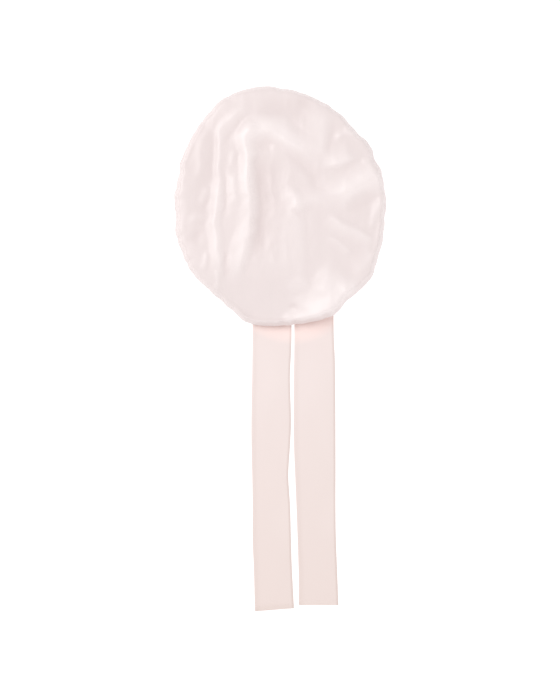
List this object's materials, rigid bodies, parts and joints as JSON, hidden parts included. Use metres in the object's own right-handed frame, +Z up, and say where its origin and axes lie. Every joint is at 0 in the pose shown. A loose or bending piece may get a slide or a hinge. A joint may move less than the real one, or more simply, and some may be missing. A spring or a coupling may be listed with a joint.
{
  "type": "nightcap",
  "caption": "Puffed satin nightcap lying on its elastic opening, with flat ribbon ties laid out from its lower edge.",
  "frame": {"origin": "on the surface that the cap lies on, under the middle of its bounding box", "axes": "+Z up out of the surface, +Y from the ties' free ends towards the top of the crown, +X to the right in the picture"},
  "size_m": [0.2746, 0.6812, 0.0385],
  "materials": {
    "crown_satin": "glossy pale blush satin",
    "band_casing": "gathered pale blush satin over elastic",
    "tie_ribbon": "soft pale blush satin ribbon"
  },
  "bodies": {
    "root": {"crown": "crown_satin", "band": "band_casing", "tie_left": "tie_ribbon", "tie_right": "tie_ribbon"}
  },
  "joints": []
}
